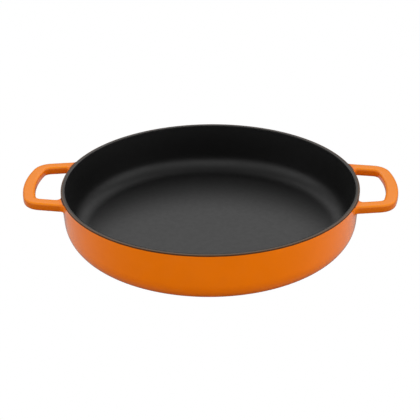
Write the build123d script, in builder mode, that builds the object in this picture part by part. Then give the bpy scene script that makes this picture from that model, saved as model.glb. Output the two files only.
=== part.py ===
from build123d import *

import os
from math import cos, radians, sin, sqrt, tan

# Two-handled enamelled cast iron skillet: one iron casting (bowl and both loop handles poured together),
# a coloured enamel coat outside, a matt black enamel coat inside, and a dark enamel bead along the rim.
# Frame: millimetres, +Z up, +X towards the right handle, origin on the resting plane under the bowl's centre.
# Sizes are those of the finished surface, unless an inset of one coat takes them down to the iron.

# Bowl
rim_radius = 140.0
height = 52.7
wall_lean = 4.1  # degrees, the wall leans out towards the rim
wall = 4.0
floor = 4.8
outer_corner = 23.4
inner_corner = 17.0

# Foot ring, the only part of the underside that touches the hob
foot_height = 0.8
foot_outer = 111.0
foot_inner = 99.0
foot_slope = 1.2  # width of each sloping side of the ring

# Handles: a rounded bar on a flat path of two arms and a curved grip
handle_drop = 0.8  # from the rim down to the handle's top
bar_width = 11.6
bar_thickness = 8.0
bar_edge = 3.0
grip_reach = 169.7  # from the bowl's axis to the middle of the grip's centre line
grip_radius = 108.0
grip_corner = 12.0
arm_spread = 38.9  # from the middle plane to an arm's centre line, measured at x = arm_spread_x
arm_spread_x = 150.0
arm_taper = 8.2  # degrees, the arms close in towards the grip
arm_start = 124.0  # x at which an arm starts, inside the bowl
root_fillet = 3.6

# Enamel
coat = 0.4
bead = 0.6  # height of the bead along the rim
bead_edge = 0.5

# Derived sizes
spare = 12.0  # wall above the rim for the root fillets to roll against, cut off again afterwards
lean = radians(wall_lean)
coat_line = height - bead  # the two coats and the iron end here, under the bead
corner_z = foot_height + outer_corner
corner_x = rim_radius - (height - corner_z) * tan(lean) - outer_corner / cos(lean)
floor_z = foot_height + floor
inner_z = floor_z + inner_corner
inner_rim_radius = rim_radius - wall / cos(lean)
inner_x = inner_rim_radius - (height - inner_z) * tan(lean) - inner_corner / cos(lean)
bar_z = height - handle_drop - bar_thickness / 2


def wall_foot(x, z, radius):
    """Where the corner arc centred on (x, z) runs into the leaning wall."""
    return (x + radius * cos(lean), z - radius * sin(lean))


def outside_section(inset):
    """Half section of the bowl's outside as a filled form, inset from its finished surface."""
    top = height + spare
    foot = wall_foot(corner_x, corner_z, outer_corner)
    with BuildSketch(Plane.XZ) as section:
        with BuildLine():
            Polyline(
                (0, top),
                (0, foot_height),
                (foot_inner - foot_slope, foot_height),
                (foot_inner, 0),
                (foot_outer, 0),
                (foot_outer + foot_slope, foot_height),
                (corner_x, foot_height),
            )
            RadiusArc((corner_x, foot_height), foot, -outer_corner)
            Polyline(foot, (rim_radius + spare * tan(lean), top), (0, top))
        make_face()
        mirror(about=Plane.YZ)
        if inset:
            offset(amount=-inset)
        split(bisect_by=Plane.YZ)
    return section.sketch


def inside_section(growth):
    """Half section of the bowl's hollow as a filled form, grown into the wall by growth."""
    top = height + spare
    foot = wall_foot(inner_x, inner_z, inner_corner)
    with BuildSketch(Plane.XZ) as section:
        with BuildLine():
            Polyline((0, top), (0, floor_z), (inner_x, floor_z))
            RadiusArc((inner_x, floor_z), foot, -inner_corner)
            Polyline(foot, (inner_rim_radius + spare * tan(lean), top), (0, top))
        make_face()
        mirror(about=Plane.YZ)
        if growth:
            offset(amount=growth)
        split(bisect_by=Plane.YZ)
    return section.sketch


def handle_path():
    """Centre line of the right handle, out along one arm, round the grip and back along the other."""
    grip_centre = grip_reach - grip_radius
    slope = tan(radians(arm_taper))
    # The arm's line meets the grip's circle where a quadratic in x says, with y = spread_0 - slope * x.
    spread_0 = arm_spread + arm_spread_x * slope
    a = 1 + slope**2
    b = grip_centre + spread_0 * slope
    c = grip_centre**2 + spread_0**2 - grip_radius**2
    bend_x = (b + sqrt(b**2 - a * c)) / a
    bend_y = spread_0 - slope * bend_x
    start_y = spread_0 - slope * arm_start
    with BuildLine(Plane.XY.offset(bar_z)) as path:
        Line((arm_start, start_y), (bend_x, bend_y))
        ThreePointArc((bend_x, bend_y), (grip_reach, 0), (bend_x, -bend_y))
        Line((bend_x, -bend_y), (arm_start, -start_y))
        fillet(path.vertices().filter_by(lambda corner: corner.X > arm_spread_x), grip_corner)
    return path.line


def root_edges(form):
    """The loops of edges where the four arms run out of the bowl's wall."""
    level = form.edges().filter_by_position(Axis.Z, bar_z - bar_thickness / 2, bar_z + bar_thickness / 2)
    return level.filter_by(lambda edge: arm_start < abs(edge.center().X) < inner_rim_radius)


def outer_form(inset, shelf):
    """The outside, bowl and handles, as a filled form inset from its finished surface.

    The handles' root fillets end at height shelf, and the bare bowl goes on above it.
    """
    with BuildPart() as bowl:
        revolve(outside_section(inset), axis=Axis.Z)
    path = handle_path()
    with BuildPart() as form:
        add(bowl.part)
        with BuildSketch(Plane(path @ 0, z_dir=path % 0)):
            RectangleRounded(bar_width - 2 * inset, bar_thickness - 2 * inset, bar_edge - inset)
        sweep(path=path)
        mirror(about=Plane.YZ)
        fillet(root_edges(form), root_fillet + inset)
        split(bisect_by=Plane.XY.offset(shelf), keep=Keep.BOTTOM)
        add(split(bowl.part, bisect_by=Plane.XY.offset(shelf), keep=Keep.TOP, mode=Mode.PRIVATE))
    return form.part


os.makedirs("parts", exist_ok=True)

iron_outside = outer_form(coat, coat_line - coat)

with BuildPart() as pan_casting:
    add(iron_outside)
    revolve(inside_section(coat), axis=Axis.Z, mode=Mode.SUBTRACT)
    split(bisect_by=Plane.XY.offset(coat_line), keep=Keep.BOTTOM)
pan_casting.part.label = "pan_casting"
export_step(pan_casting.part, "parts/pan_casting.step")

with BuildPart() as exterior_enamel:
    add(outer_form(0, coat_line))
    split(bisect_by=Plane.XY.offset(coat_line), keep=Keep.BOTTOM)
    add(iron_outside, mode=Mode.SUBTRACT)
exterior_enamel.part.label = "exterior_enamel"
export_step(exterior_enamel.part, "parts/exterior_enamel.step")

with BuildPart() as interior_enamel:
    revolve(inside_section(coat), axis=Axis.Z)
    revolve(inside_section(0), axis=Axis.Z, mode=Mode.SUBTRACT)
    split(bisect_by=Plane.XY.offset(coat_line), keep=Keep.BOTTOM)
interior_enamel.part.label = "interior_enamel"
export_step(interior_enamel.part, "parts/interior_enamel.step")

with BuildPart() as rim_bead:
    revolve(outside_section(0), axis=Axis.Z)
    revolve(inside_section(0), axis=Axis.Z, mode=Mode.SUBTRACT)
    split(bisect_by=Plane.XY.offset(height), keep=Keep.BOTTOM)
    split(bisect_by=Plane.XY.offset(coat_line), keep=Keep.TOP)
    fillet(rim_bead.edges().group_by(Axis.Z)[-1], bead_edge)
rim_bead.part.label = "rim_bead"
export_step(rim_bead.part, "parts/rim_bead.step")
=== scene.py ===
from math import atan2, cos, pi, radians, sin, sqrt, tan

import bpy
from mathutils import Matrix, Vector


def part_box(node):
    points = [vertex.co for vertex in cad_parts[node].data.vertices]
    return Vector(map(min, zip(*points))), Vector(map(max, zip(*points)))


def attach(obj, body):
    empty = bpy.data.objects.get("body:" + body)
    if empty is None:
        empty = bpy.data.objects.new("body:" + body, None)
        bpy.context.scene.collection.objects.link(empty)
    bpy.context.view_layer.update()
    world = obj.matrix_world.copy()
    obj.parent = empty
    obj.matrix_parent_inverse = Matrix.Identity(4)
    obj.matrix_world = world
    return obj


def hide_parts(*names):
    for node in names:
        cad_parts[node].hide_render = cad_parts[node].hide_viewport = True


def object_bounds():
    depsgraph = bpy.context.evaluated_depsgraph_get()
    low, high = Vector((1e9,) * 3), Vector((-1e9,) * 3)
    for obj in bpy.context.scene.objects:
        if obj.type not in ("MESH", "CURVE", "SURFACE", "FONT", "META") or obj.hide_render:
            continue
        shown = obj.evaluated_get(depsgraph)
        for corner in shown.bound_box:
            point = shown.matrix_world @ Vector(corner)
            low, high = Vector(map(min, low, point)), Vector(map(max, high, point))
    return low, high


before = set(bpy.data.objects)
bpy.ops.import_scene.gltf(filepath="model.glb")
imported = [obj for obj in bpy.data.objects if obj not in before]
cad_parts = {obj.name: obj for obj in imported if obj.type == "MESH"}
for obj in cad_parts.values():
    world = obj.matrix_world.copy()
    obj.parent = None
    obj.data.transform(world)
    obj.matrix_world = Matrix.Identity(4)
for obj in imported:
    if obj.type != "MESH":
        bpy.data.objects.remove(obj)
cad_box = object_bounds()

# Enamelled cast iron skillet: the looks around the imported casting.
# Shapes are worked out in millimetres, in the frame of the CAD, and new_piece turns them into metres.
MM = 0.001

# Sizes read from the frame
bead_low, bead_high = (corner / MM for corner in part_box("rim_bead"))
height = bead_high.z
coat_line = bead_low.z  # the two coats end here, under the bead
rim_radius = bead_high.x
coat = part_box("pan_casting")[0].z / MM  # the casting is one coat above the resting plane
floor_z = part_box("interior_enamel")[0].z / MM + coat  # the finished floor of the bowl
handle_reach = cad_box[1].x / MM

# Sizes of the design
wall_lean = radians(4.1)
wall = 4.0
outer_corner = 23.4
inner_corner = 17.0
foot_height = 0.8
foot_outer = 111.0
foot_inner = 99.0
foot_slope = 1.2
bar_width = 11.6
bar_thickness = 8.0
bar_edge = 2.4
bar_low_edge = 2.8
handle_drop = 0.8  # from the rim down to the handle's top
bar_z = height - handle_drop - bar_thickness / 2
grip_radius = 108.0
grip_corner = 12.0
arm_taper = radians(8.2)
arm_spread = 38.9  # from the middle plane to an arm's centre line, at x = arm_spread_x
arm_spread_x = 150.0
root_fillet = 4.2

# Mesh density
QUARTER = 62  # columns of faces in a quarter turn of the bowl
ROOT_COLUMN = 11  # the column line that an arm is centred on
ROOT_HALF = 4  # columns on each side of it that the root takes the place of
ROOT_ROWS = 7  # rows of the wall, from the coat line down, that the root takes the place of
ROOT_STEP = 2.35  # height of each of those rows
PATCH_RADIUS = 60.0  # of the grid that fills the middle of a flat base
BASE_GAP = 0.4  # from the last flat row of the base to the foot ring's inner slope
FOOT_GAP = 0.5  # from any other slope of the foot ring to the flat row beside it
EDGE_ROW = 0.45  # width of the last row before a coat's edge
EDGE_ROUND = 0.30  # how far the outer coat is drawn in at that edge
WELD_WITHIN = 0.002  # points closer than this become one

# Camera
CAMERA_TARGET = Vector((-0.0004, 0, 0.0240))  # before the turn by the azimuth
CAMERA_DISTANCE = 1.1898
CAMERA_ELEVATION = radians(27.174)
CAMERA_AZIMUTH = radians(1.904)
CAMERA_ROLL = radians(-0.473)
CAMERA_SENSOR = 36.0
CAMERA_LENS = 107.4857


# ---------------------------------------------------------------- outlines

def spaced(start, end, steps):
    """Evenly spaced values from start to end, both included."""
    return [start + (end - start) * i / steps for i in range(steps + 1)]


def wall_radius(z):
    """Radius of the finished outer wall at height z."""
    return rim_radius - (height - z) * tan(wall_lean)


def inner_wall_radius(z):
    """Radius of the finished inner wall at height z."""
    return wall_radius(z) - wall / cos(wall_lean)


def smooth_step(t):
    """Eased step from 0 to 1, held outside them."""
    t = min(max(t, 0.0), 1.0)
    return t * t * (3 - 2 * t)


def foot_profile(radius):
    """Height of the underside at a radius: a shallow ring with soft sides."""
    rise = smooth_step((foot_inner - radius) / foot_slope) + smooth_step((radius - foot_outer) / foot_slope)
    return foot_height * rise


def foot_radii():
    """Radii of the rows under the base, close together where the sides of the foot ring slope."""
    inner_start, outer_end = foot_inner - foot_slope, foot_outer + foot_slope
    base = inner_start - BASE_GAP - PATCH_RADIUS
    steps = 4
    radii = [PATCH_RADIUS + base * (1 - (1 - t) ** 2) for t in spaced(0, 1, steps)]
    radii += spaced(inner_start, foot_inner, steps)
    radii += spaced(foot_inner + FOOT_GAP, foot_outer - FOOT_GAP, steps)
    radii += spaced(foot_outer, outer_end, steps)
    return radii + [outer_end + FOOT_GAP]


def corner_arc(center_x, center_z, radius, steps):
    """Points of a bowl's corner, from its underside round to the leaning wall."""
    angles = spaced(-pi / 2, -wall_lean, steps)
    return [(center_x + radius * cos(a), center_z + radius * sin(a)) for a in angles]


def outer_rows():
    """(radius, z) of each row of the outside, from the middle patch out and up to the coat line."""
    rows = [(radius, foot_profile(radius)) for radius in foot_radii()]
    center_z = foot_height + outer_corner
    center_x = wall_radius(center_z) - outer_corner / cos(wall_lean)
    rows += corner_arc(center_x, center_z, outer_corner, 16)
    root_top = coat_line - EDGE_ROW
    root_low = root_top - ROOT_STEP * (ROOT_ROWS - 1)
    below = spaced(rows[-1][1], root_low, 6)[1:-1]
    rows += [(wall_radius(z), z) for z in below + spaced(root_low, root_top, ROOT_ROWS - 1)]
    return rows + [(wall_radius(coat_line) - EDGE_ROUND, coat_line)]


def inner_rows():
    """(radius, z) of each row of the inside, from the middle patch out and up to the coat line."""
    center_z = floor_z + inner_corner
    center_x = inner_wall_radius(center_z) - inner_corner / cos(wall_lean)
    closing_up = (0, 0.3, 0.6, 0.85, 0.97)  # from the patch to the corner
    rows = [(PATCH_RADIUS + (center_x - PATCH_RADIUS) * t, floor_z) for t in closing_up]
    rows += corner_arc(center_x, center_z, inner_corner, 14)
    heights = spaced(rows[-1][1], coat_line - EDGE_ROW, 12)[1:] + [coat_line]
    return rows + [(inner_wall_radius(z), z) for z in heights]


def bead_rows():
    """(radius, z) over the bead's section, from its outer edge to its inner one: a squarish crown."""
    outer, inner = wall_radius(coat_line) - EDGE_ROUND, inner_wall_radius(coat_line)
    middle, half = (outer + inner) / 2, (outer - inner) / 2
    squareness = 0.7  # 1 makes half an ellipse, and less is squarer
    rows = []
    for angle in spaced(0, pi, 16):
        across, up = cos(angle), sin(angle)
        spread = abs(across) ** squareness * (1 if across > 0 else -1)
        rows.append((middle + half * spread, coat_line + (height - coat_line) * up**squareness))
    return rows


# ---------------------------------------------------------------- mesh building

class Sheet:
    """A quad mesh being put together, in millimetres."""

    def __init__(self):
        self.points = []
        self.faces = []

    def line(self, points):
        """Adds a line of points and returns their numbers."""
        first = len(self.points)
        self.points += [tuple(p) for p in points]
        return list(range(first, len(self.points)))

    def strip(self, a, b):
        """Adds the quads between two lines of points."""
        for i in range(len(a) - 1):
            self.faces.append((a[i], a[i + 1], b[i + 1], b[i]))

    def turn_over(self):
        """Makes the faces look the other way."""
        self.faces = [tuple(reversed(face)) for face in self.faces]

    def mirror(self, axis):
        """Adds the mirror image across the plane through the origin that is square to the axis."""
        count = len(self.points)
        self.points += [tuple(-v if k == axis else v for k, v in enumerate(p)) for p in self.points]
        self.faces += [tuple(count + v for v in reversed(face)) for face in self.faces]


def ring_line(radius, z):
    """A quarter of a level circle, one point on each column line."""
    return [(radius * cos(a), radius * sin(a), z) for a in spaced(0, pi / 2, QUARTER)]


def add_patch(sheet, radius, z, edge):
    """Fills a quarter disc with a square grid whose outer sides end on the line of points edge."""
    half = QUARTER // 2
    rim = [Vector(p) for p in ring_line(radius, z)]
    corner = rim[half]
    lines = []
    for j in range(half):
        v = j / half
        line = []
        for i in range(half):
            u = i / half
            on_x, on_y = Vector((radius * u, 0, z)), Vector((0, radius * v, z))
            sides = on_y * (1 - u) + rim[j] * u + on_x * (1 - v) + rim[QUARTER - i] * v
            ends = Vector((0, 0, z)) * (1 - u) * (1 - v) + rim[0] * u * (1 - v) + rim[-1] * (1 - u) * v
            line.append(sides - ends - corner * u * v)
        lines.append(sheet.line(line) + [edge[j]])
    lines.append([edge[QUARTER - i] for i in range(half + 1)])
    for a, b in zip(lines, lines[1:]):
        sheet.strip(b, a)


def add_rows(sheet, rows, skip=None):
    """Adds a quarter of a turned surface through the rows, less the faces that skip(row, column) names."""
    numbers = [sheet.line(ring_line(radius, z)) for radius, z in rows]
    for row, (a, b) in enumerate(zip(numbers, numbers[1:])):
        for column in range(QUARTER):
            if skip is None or not skip(row, column):
                sheet.strip(a[column:column + 2], b[column:column + 2])
    return numbers


# ---------------------------------------------------------------- handles

def bar_section():
    """Points round the handle bar and their outward normals, as (outward, up), from the top outer corner.

    Halfway round each rounded edge is a corner of the section, and the sides between those corners have
    as many faces as the sides of the opening in the wall.
    """
    points, normals = [], []

    def add(center, edge, angle):
        normal = Vector((cos(angle), sin(angle)))
        points.append(center + normal * edge)
        normals.append(normal)

    corners = []
    for x, z in ((1, 1), (-1, 1), (-1, -1), (1, -1)):
        edge = bar_edge if z > 0 else bar_low_edge
        corners.append((Vector((x * (bar_width / 2 - edge), z * (bar_thickness / 2 - edge))), edge))
    for side in range(4):
        begin, begin_edge = corners[side]
        end, end_edge = corners[(side + 1) % 4]
        angle = pi / 4 + side * pi / 2
        flats = (ROOT_ROWS if side % 2 else 2 * ROOT_HALF) - 4
        add(begin, begin_edge, angle)
        add(begin, begin_edge, angle + pi / 8)
        for t in spaced(0, 1, flats):
            add(begin.lerp(end, t), begin_edge + (end_edge - begin_edge) * t, angle + pi / 4)
        add(end, end_edge, angle + 3 * pi / 8)
    return points, normals


def arm_line():
    """A point on the right arm's centre line at y > 0, the way it runs and the way out from the loop."""
    along = Vector((cos(arm_taper), -sin(arm_taper), 0))
    outward = Vector((sin(arm_taper), cos(arm_taper), 0))
    return Vector((arm_spread_x, arm_spread, bar_z)), along, outward


def to_wall(point, along):
    """How far along the arm from a point to the finished wall, at the point's own height."""
    b = point.x * along.x + point.y * along.y
    c = point.x**2 + point.y**2 - wall_radius(point.z) ** 2
    return -b + sqrt(b * b - c)


def root_rings():
    """Rings of points from the wall out to the straight bar, filleted into the wall except on top."""
    points, normals = bar_section()
    base, along, outward = arm_line()
    steps = 7
    rings = [[] for _ in range(steps + 1)]
    for point, normal in zip(points, normals):
        spread = point.x / (bar_width / 2 - bar_edge) if normal.y >= 0 else normal.x
        side = outward * min(max(spread, -1), 1) + Vector((0, 0, min(normal.y, 0)))
        start = base + outward * point.x + Vector((0, 0, point.y))
        foot = start + along * to_wall(start, along)
        facing = Vector((foot.x, foot.y, -rim_radius * tan(wall_lean))).normalized()
        lean = -side.dot(facing) / along.dot(facing)  # how fast the wall comes forward going out sideways
        end = 3 * pi / 2 + atan2(lean, 1)
        for ring, angle in zip(rings, spaced(end, pi, steps)):
            flare = root_fillet * (1 + cos(angle))
            reach = root_fillet * (lean + sqrt(1 + lean**2) + sin(angle)) - lean * flare
            moved = start + side * flare
            ring.append(moved + along * (to_wall(moved, along) + reach))
    return rings


def grip_frames():
    """(centre, way out from the loop) along the half handle, from the end of the straight arm to y = 0."""
    base, along, outward = arm_line()
    grip_center = Vector((handle_reach - bar_width / 2 - grip_radius, 0, bar_z))
    inside = base - outward * grip_corner
    offset = inside - grip_center
    b = offset.dot(along)
    c = offset.length_squared - (grip_radius - grip_corner) ** 2
    corner_center = inside + along * (-b + sqrt(b * b - c))
    toward = corner_center - grip_center
    corner_end = atan2(toward.y, toward.x)
    turns = [(corner_center, grip_corner, a) for a in spaced(pi / 2 - arm_taper, corner_end, 8)]
    turns += [(grip_center, grip_radius, a) for a in spaced(corner_end, 0, 7)[1:]]
    frames = []
    for center, radius, angle in turns:
        out = Vector((cos(angle), sin(angle), 0))
        frames.append((center + out * radius, out))
    return frames


def opening_line(wall_rows):
    """Points round the opening left in the wall, in the order of the bar's section."""
    left, right = ROOT_COLUMN - ROOT_HALF, ROOT_COLUMN + ROOT_HALF
    top = len(wall_rows) - 1
    bottom = top - ROOT_ROWS
    line = [wall_rows[top][column] for column in range(right, left, -1)]
    line += [wall_rows[row][left] for row in range(top, bottom, -1)]
    line += [wall_rows[bottom][column] for column in range(left, right)]
    return line + [wall_rows[row][right] for row in range(bottom, top)]


def between(outer, inner, t):
    """A point on the wall, part of the way from one point of it to another."""
    z = outer.z + (inner.z - outer.z) * t
    start, end = atan2(outer.y, outer.x), atan2(inner.y, inner.x)
    a = start + (end - start) * t
    return (wall_radius(z) * cos(a), wall_radius(z) * sin(a), z)


def add_handle(sheet, wall_rows):
    """Adds the half handle of this quarter, joined to the opening left in the wall."""
    points, _ = bar_section()
    root = root_rings()
    bar = [[center + out * p.x + Vector((0, 0, p.y)) for p in points] for center, out in grip_frames()]
    arm_steps = 5
    arm = [[a.lerp(b, step / arm_steps) for a, b in zip(root[-1], bar[0])] for step in range(1, arm_steps)]
    opening = opening_line(wall_rows)
    edge = [Vector(sheet.points[number]) for number in opening]
    steps = 3
    skirt = [[between(a, b, step / steps) for a, b in zip(edge, root[0])] for step in range(1, steps)]
    lines = [opening] + [sheet.line(ring) for ring in skirt + root + arm + bar]
    for a, b in zip(lines, lines[1:]):
        sheet.strip(a + a[:1], b + b[:1])


# ---------------------------------------------------------------- pieces

def new_piece(name, sheet, node, thickness=0.0):
    """Makes the object of a quarter sheet: mirrored to a whole, thickened under its surface, smoothed."""
    sheet.mirror(0)
    sheet.mirror(1)
    mesh = bpy.data.meshes.new(name)
    mesh.from_pydata([Vector(p) * MM for p in sheet.points], [], sheet.faces)
    piece = bpy.data.objects.new(name, mesh)
    bpy.context.scene.collection.objects.link(piece)
    weld = piece.modifiers.new("weld", "WELD")
    weld.merge_threshold = WELD_WITHIN * MM
    if thickness:
        solid = piece.modifiers.new("coat", "SOLIDIFY")
        solid.thickness = thickness * MM
        solid.offset = -1
        solid.use_even_offset = True
    smooth = piece.modifiers.new("smooth", "SUBSURF")
    smooth.levels = smooth.render_levels = 1
    mesh.polygons.foreach_set("use_smooth", [True] * len(mesh.polygons))
    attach(piece, "root")
    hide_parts(node)
    return piece


def exterior():
    """The orange coat, over the outside wall, the underside and both handles."""
    sheet = Sheet()
    rows = outer_rows()
    root_low = len(rows) - 1 - ROOT_ROWS

    def in_root(row, column):
        return row >= root_low and abs(column + 0.5 - ROOT_COLUMN) < ROOT_HALF

    numbers = add_rows(sheet, rows, in_root)
    add_patch(sheet, PATCH_RADIUS, rows[0][1], numbers[0])
    add_handle(sheet, numbers)
    return new_piece("exterior_glaze", sheet, "exterior_enamel", coat)


def interior():
    """The black coat inside the bowl."""
    sheet = Sheet()
    rows = inner_rows()
    numbers = add_rows(sheet, rows)
    add_patch(sheet, PATCH_RADIUS, rows[0][1], numbers[0])
    sheet.turn_over()
    return new_piece("interior_glaze", sheet, "interior_enamel", coat)


def bead():
    """The bead of ground enamel along the rim, closed by a flat underside."""
    sheet = Sheet()
    rows = bead_rows()
    add_rows(sheet, rows + rows[:1])
    return new_piece("rim_glaze", sheet, "rim_bead")


# ---------------------------------------------------------------- nodes

def feed(tree, node, inputs):
    """Sets inputs of a node. Each is given a value, or the output socket that feeds it."""
    for name, value in inputs.items():
        if isinstance(value, bpy.types.NodeSocket):
            tree.links.new(value, node.inputs[name])
        else:
            node.inputs[name].default_value = value


def add_node(tree, kind, inputs=None, **settings):
    """Adds a node of a kind with its settings and inputs, and returns it."""
    made = tree.nodes.new(kind)
    for name, value in settings.items():
        setattr(made, name, value)
    feed(tree, made, inputs or {})
    return made


def calc(tree, operation, a, b=0.0, c=0.0):
    return add_node(tree, "ShaderNodeMath", {0: a, 1: b, 2: c}, operation=operation).outputs[0]


def product(tree, a, b):
    return calc(tree, "MULTIPLY", a, b)


def ramp(tree, value, low, high, to_low=0.0, to_high=1.0):
    """Value turned smoothly from one range into another, and held outside it."""
    made = add_node(
        tree,
        "ShaderNodeMapRange",
        {"Value": value, "From Min": low, "From Max": high, "To Min": to_low, "To Max": to_high},
        interpolation_type="SMOOTHSTEP",
    )
    return made.outputs["Result"]


def profile(tree, value, stops):
    """Value, from -1 to 1, looked up in (position, level) stops."""
    from_zero = calc(tree, "MULTIPLY_ADD", value, 0.5, 0.5)
    made = add_node(tree, "ShaderNodeValToRGB", {0: from_zero})
    ramp_stops = made.color_ramp.elements
    while len(ramp_stops) < len(stops):
        ramp_stops.new(0.5)
    for stop, (position, level) in zip(ramp_stops, stops):
        stop.position = (position + 1) / 2
        stop.color = (level, level, level, 1)
    return made.outputs["Color"]


def mix_color(tree, amount, a, b):
    return add_node(tree, "ShaderNodeMix", {0: amount, 6: a, 7: b}, data_type="RGBA").outputs[2]


def mix_value(tree, amount, a, b):
    return add_node(tree, "ShaderNodeMix", {0: amount, 2: a, 3: b}, data_type="FLOAT").outputs[0]


def noise_value(tree, size, detail=2.0):
    """Noise in object space whose features are about size millimetres."""
    place = add_node(tree, "ShaderNodeTexCoord").outputs["Object"]
    made = add_node(tree, "ShaderNodeTexNoise", {"Vector": place, "Scale": 1 / (size * MM), "Detail": detail})
    return made.outputs["Fac"]


def radius_and_level(tree):
    """Distance from the pan's axis, and height above the table, in millimetres."""
    place = add_node(tree, "ShaderNodeNewGeometry").outputs["Position"]
    x, y, z = add_node(tree, "ShaderNodeSeparateXYZ", {0: place}).outputs
    flat = add_node(tree, "ShaderNodeCombineXYZ", {0: x, 1: y}).outputs[0]
    radius = add_node(tree, "ShaderNodeVectorMath", {0: flat}, operation="LENGTH").outputs["Value"]
    return calc(tree, "DIVIDE", radius, MM), calc(tree, "DIVIDE", z, MM)


def bump(tree, relief, depth, after=None):
    """Bump of a depth in millimetres, on top of the normals after."""
    inputs = {"Height": relief, "Distance": depth * MM, "Strength": 1.0}
    if after is not None:
        inputs["Normal"] = after
    return add_node(tree, "ShaderNodeBump", inputs).outputs["Normal"]


def grey(level):
    return (level, level, level, 1)


def new_material(name):
    """A new material, its node tree and its Principled shader."""
    made = bpy.data.materials.new(name)
    made.use_nodes = True
    return made, made.node_tree, made.node_tree.nodes["Principled BSDF"]


# ---------------------------------------------------------------- materials

def orange_color(tree):
    """Orange, with painted shade on the handles' sides and where it is seen edge on, painted light on the
    handles' tops, and brown where it thins at the bead.
    """
    radius, level = radius_and_level(tree)
    body = mix_color(tree, noise_value(tree, 22.0, 3.0), (0.77, 0.167, 0.0005, 1), (0.83, 0.184, 0.0007, 1))
    normal = add_node(tree, "ShaderNodeNewGeometry").outputs["Normal"]
    # Painted shade and light: by the way the surface faces, the handles' sides are painted a deeper orange
    # and their tops a lighter, yellower one.
    facing_up = ramp(tree, add_node(tree, "ShaderNodeSeparateXYZ", {0: normal}).outputs[2], 0.25, 0.8)
    handle = mix_color(tree, facing_up, (0.61, 0.130, 0.0030, 1), (0.80, 0.216, 0.0008, 1))
    on_handle = ramp(tree, radius, rim_radius + 1.0, rim_radius + 5.0)
    orange_with_handle_shade = mix_color(tree, on_handle, body, handle)
    # Painted shade: the orange is darkened towards brown where the surface is seen edge on.
    edge_on = ramp(tree, add_node(tree, "ShaderNodeLayerWeight", {"Blend": 0.5}).outputs["Facing"], 0.82, 1.0)
    shaded = mix_color(tree, edge_on, orange_with_handle_shade, (0.36, 0.09, 0.002, 1))
    on_wall = ramp(tree, radius, rim_radius + 0.2, rim_radius + 1.0, 1.0, 0.0)
    wandering = calc(tree, "MULTIPLY_ADD", noise_value(tree, 6.0), 0.2, level)
    near_bead = ramp(tree, wandering, coat_line - 0.95, coat_line - 0.25)
    return mix_color(tree, product(tree, on_wall, near_bead), shaded, (0.06, 0.018, 0.004, 1))


def orange_enamel():
    """Opaque orange gloss enamel with slight orange peel and sag."""
    made, tree, shader = new_material("orange_enamel")
    peel = bump(tree, noise_value(tree, 2.6, 1.0), 0.010)
    inputs = {
        "Base Color": orange_color(tree),
        "Roughness": ramp(tree, noise_value(tree, 9.0), 0.3, 0.7, 0.20, 0.27),
        "Normal": bump(tree, noise_value(tree, 14.0, 1.0), 0.05, peel),
        "Specular IOR Level": 0.34,
    }
    feed(tree, shader, inputs)
    return made


def black_enamel():
    """Matt black enamel with a fine grain, and painted light that makes it a little lighter on the floor and
    towards the rim.
    """
    made, tree, shader = new_material("black_enamel")
    _, level = radius_and_level(tree)
    deep = mix_color(tree, noise_value(tree, 16.0, 4.0), grey(0.0006), grey(0.0012))
    # Painted light: the floor of the bowl is painted lighter than the walls.
    floor_painted_light = ramp(tree, level, floor_z, floor_z + 3.0, 1.0, 0.0)
    # Painted light: the wall is painted lighter towards the rim.
    rim_painted_light = ramp(tree, level, 0.5 * height, 1.05 * height)
    inputs = {
        "Base Color": mix_color(tree, rim_painted_light, mix_color(tree, floor_painted_light, deep, grey(0.005)), grey(0.006)),
        "Roughness": ramp(tree, noise_value(tree, 5.0, 3.0), 0.3, 0.7, 0.40, 0.46),
        "Normal": bump(tree, noise_value(tree, 0.5), 0.012),
        "Specular IOR Level": 0.95,
    }
    feed(tree, shader, inputs)
    return made


def ground_enamel():
    """Dark satin enamel of the bead, browner on its outer edge."""
    made, tree, shader = new_material("ground_enamel")
    radius, _ = radius_and_level(tree)
    body = mix_color(tree, noise_value(tree, 4.0, 3.0), (0.012, 0.010, 0.008, 1), (0.020, 0.017, 0.013, 1))
    outer = ramp(tree, radius, rim_radius - 3.0, rim_radius - 0.3)
    inputs = {
        "Base Color": mix_color(tree, outer, body, (0.09, 0.037, 0.009, 1)),
        "Roughness": 0.27,
        "Normal": bump(tree, noise_value(tree, 1.5), 0.01),
        "Specular IOR Level": 0.55,
    }
    feed(tree, shader, inputs)
    return made


def cast_iron():
    """Grey sand-cast iron, which the coats cover."""
    made, tree, shader = new_material("cast_iron")
    skin = noise_value(tree, 3.0, 4.0)
    inputs = {
        "Base Color": mix_color(tree, skin, (0.07, 0.07, 0.072, 1), (0.13, 0.125, 0.12, 1)),
        "Metallic": 0.7,
        "Roughness": 0.62,
        "Normal": bump(tree, noise_value(tree, 0.8, 4.0), 0.05),
    }
    feed(tree, shader, inputs)
    return made


# ---------------------------------------------------------------- stage

def camera():
    """The camera, at the angle the pan is shown from."""
    made = bpy.data.objects.new("camera", bpy.data.cameras.new("camera"))
    bpy.context.scene.collection.objects.link(made)
    level = Vector((cos(CAMERA_AZIMUTH), sin(CAMERA_AZIMUTH), 0))
    away = Vector((-sin(CAMERA_AZIMUTH), cos(CAMERA_AZIMUTH), 0))
    forward = away * cos(CAMERA_ELEVATION) - Vector((0, 0, sin(CAMERA_ELEVATION)))
    upright = level.cross(forward)
    right = level * cos(CAMERA_ROLL) + upright * sin(CAMERA_ROLL)
    up = upright * cos(CAMERA_ROLL) - level * sin(CAMERA_ROLL)
    turned = Matrix((right, up, -forward)).transposed().to_4x4()
    target = Matrix.Rotation(CAMERA_AZIMUTH, 3, "Z") @ CAMERA_TARGET
    made.matrix_world = Matrix.Translation(target - forward * CAMERA_DISTANCE) @ turned
    made.data.sensor_width = CAMERA_SENSOR
    made.data.lens = CAMERA_LENS
    bpy.context.scene.camera = made


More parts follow.
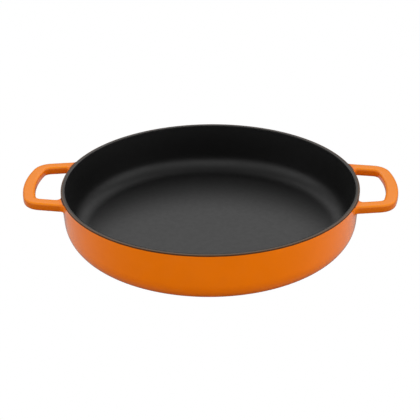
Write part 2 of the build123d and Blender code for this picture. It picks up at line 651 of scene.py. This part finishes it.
def floor():
    """A plain floor, white to the camera, that gives back a warm light."""
    half = 4.0
    drop = -0.05 * MM
    mesh = bpy.data.meshes.new("floor")
    corners = [(x * half, y * half, drop) for x, y in ((-1, -1), (1, -1), (1, 1), (-1, 1))]
    mesh.from_pydata(corners, [], [(0, 1, 2, 3)])
    made = bpy.data.objects.new("floor", mesh)
    bpy.context.scene.collection.objects.link(made)
    material, tree, shader = new_material("floor")
    feed(tree, shader, {"Base Color": (0.6, 0.52, 0.25, 1), "Roughness": 0.9})
    seen = add_node(tree, "ShaderNodeLightPath").outputs["Is Camera Ray"]
    white = add_node(tree, "ShaderNodeEmission", {"Color": grey(1.0), "Strength": 1.0})
    both = add_node(tree, "ShaderNodeMixShader", {0: seen, 1: shader.outputs[0], 2: white.outputs[0]})
    feed(tree, tree.nodes["Material Output"], {"Surface": both.outputs[0]})
    mesh.materials.append(material)
    made.visible_glossy = False


def mirrored_light(tree, x, y, z):
    """Strength of the light that glossy surfaces mirror, by the direction it comes from.

    The camera is at -Y. The lower part grows towards the back and the sides. The upper part has a soft light
    in front, which the far inside corner mirrors, one behind, which the floor of the pan mirrors, and one
    on each side.
    """
    beside = product(tree, x, x)
    behind = ramp(tree, y, -0.7, 0.55, 0.0, 0.60)
    off_middle = ramp(tree, beside, 0.0, 0.14, 0.3, 1.0)
    not_under = ramp(tree, z, -0.8, -0.45, 0.3, 1.0)
    not_level = ramp(tree, z, -0.35, 0.05, 1.0, 0.35)
    low = product(tree, product(tree, behind, off_middle), product(tree, not_under, not_level))
    front = ((-1.0, 0.0), (-0.89, 0.02), (-0.8, 0.70), (-0.65, 0.60), (-0.35, 0.30))
    back = ((0.1, 0.16), (0.5, 0.90), (0.85, 1.10))
    over = profile(tree, y, front + back)
    in_middle = ramp(tree, beside, 0.1, 0.5, 1.0, 0.5)
    sides = product(tree, ramp(tree, beside, 0.3, 0.7, 0.0, 0.58), ramp(tree, y, 0.0, 0.4, 1.0, 0.0))
    high = calc(tree, "MULTIPLY_ADD", over, in_middle, sides)
    above = ramp(tree, calc(tree, "MULTIPLY_ADD", beside, 0.25, z), 0.36, 0.48)
    return mix_value(tree, above, low, high)


def shed_light(tree, x):
    """Strength of the light that falls on matt surfaces: stronger from the sides, and most from the right."""
    return calc(tree, "MULTIPLY_ADD", product(tree, x, x), 1.02, ramp(tree, x, -1.0, 1.0, 0.70, 1.09))


def studio():
    """Soft white light all round, plain white to the camera and shaped apart for mirrored and shed light."""
    world = bpy.data.worlds.new("studio")
    bpy.context.scene.world = world
    world.use_nodes = True
    world.cycles.sampling_method = "NONE"  # so that a glossy ray is told from the rest
    tree = world.node_tree
    tree.nodes.clear()
    way = add_node(tree, "ShaderNodeTexCoord").outputs["Generated"]
    x, y, z = add_node(tree, "ShaderNodeSeparateXYZ", {0: way}).outputs
    ray = add_node(tree, "ShaderNodeLightPath").outputs
    on_pan = mix_value(tree, ray["Is Glossy Ray"], shed_light(tree, x), mirrored_light(tree, x, y, z))
    strength = mix_value(tree, ray["Is Camera Ray"], on_pan, 1.0)
    light = add_node(tree, "ShaderNodeBackground", {"Color": grey(1.0), "Strength": strength})
    add_node(tree, "ShaderNodeOutputWorld", {"Surface": light.outputs[0]})


exterior().data.materials.append(orange_enamel())
interior().data.materials.append(black_enamel())
bead().data.materials.append(ground_enamel())
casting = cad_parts["pan_casting"]
casting.data.materials.clear()
casting.data.materials.append(cast_iron())

floor()
studio()
camera()
bpy.context.scene.view_settings.view_transform = "Standard"
